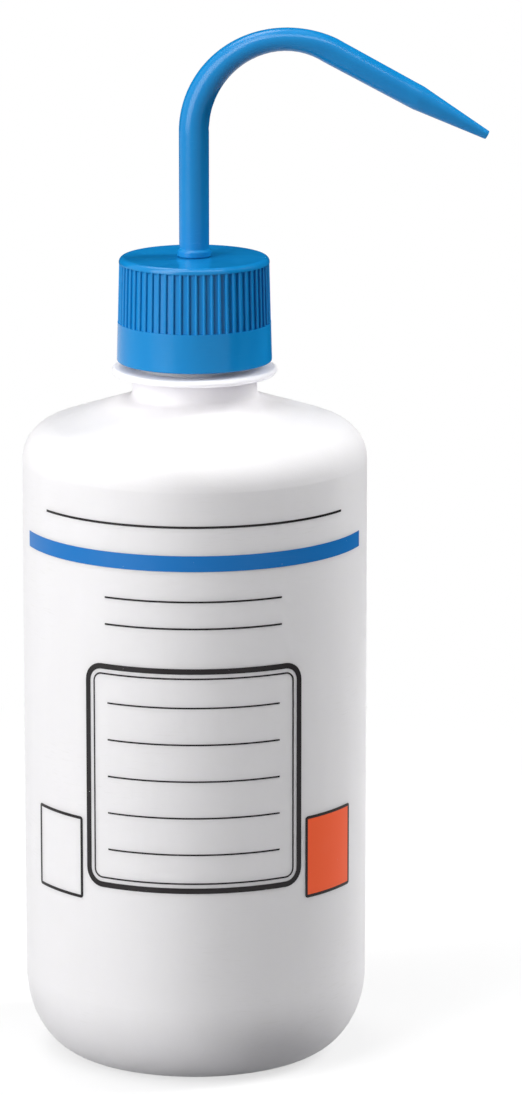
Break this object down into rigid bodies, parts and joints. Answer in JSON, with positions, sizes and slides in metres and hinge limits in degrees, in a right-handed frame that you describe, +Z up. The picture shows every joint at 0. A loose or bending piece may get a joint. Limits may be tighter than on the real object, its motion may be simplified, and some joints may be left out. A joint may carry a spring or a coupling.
{
  "type": "wash bottle",
  "caption": "Squeeze wash bottle: round white plastic body, ribbed blue screw cap, bent tapered spout that swivels in the cap, and a draw tube reaching down to the floor.",
  "frame": {"origin": "on the bottle's axis, in the plane of the ring that the bottle stands on", "axes": "+Z up along the bottle's axis, +X towards the spout's tip, -Y towards the printed front"},
  "size_m": [0.0996, 0.074, 0.2233],
  "materials": {
    "bottle": "white low-density polyethylene, satin",
    "sealing_washer": "soft white foam ring",
    "screw_cap": "blue polypropylene, satin gloss",
    "spout": "blue polypropylene, satin gloss",
    "draw_tube": "natural polyethylene tube"
  },
  "bodies": {
    "bottle_body": {"bottle": "bottle"},
    "closure_carrier": {"sealing_washer": "sealing_washer"},
    "cap_body": {"screw_cap": "screw_cap"},
    "spout_body": {"spout": "spout", "draw_tube": "draw_tube"}
  },
  "joints": [
    {"name": "closure_lift", "type": "slide", "parent": "bottle_body", "child": "closure_carrier", "axis": [0, 0, 1], "range_m": [0, 0.00635]},
    {"name": "cap_turn", "type": "hinge", "parent": "closure_carrier", "child": "cap_body", "pos_m": [0, 0, 0.1634], "axis": [0, 0, 1], "range_deg": [0, 540]},
    {"name": "spout_swivel", "type": "hinge", "parent": "closure_carrier", "child": "spout_body", "pos_m": [0, 0, 0.1726], "axis": [0, 0, 1], "continuous": true}
  ],
  "couplings": [
    {"joint": "closure_lift", "follows": "cap_turn", "m_per_rad": 0.0006737}
  ]
}
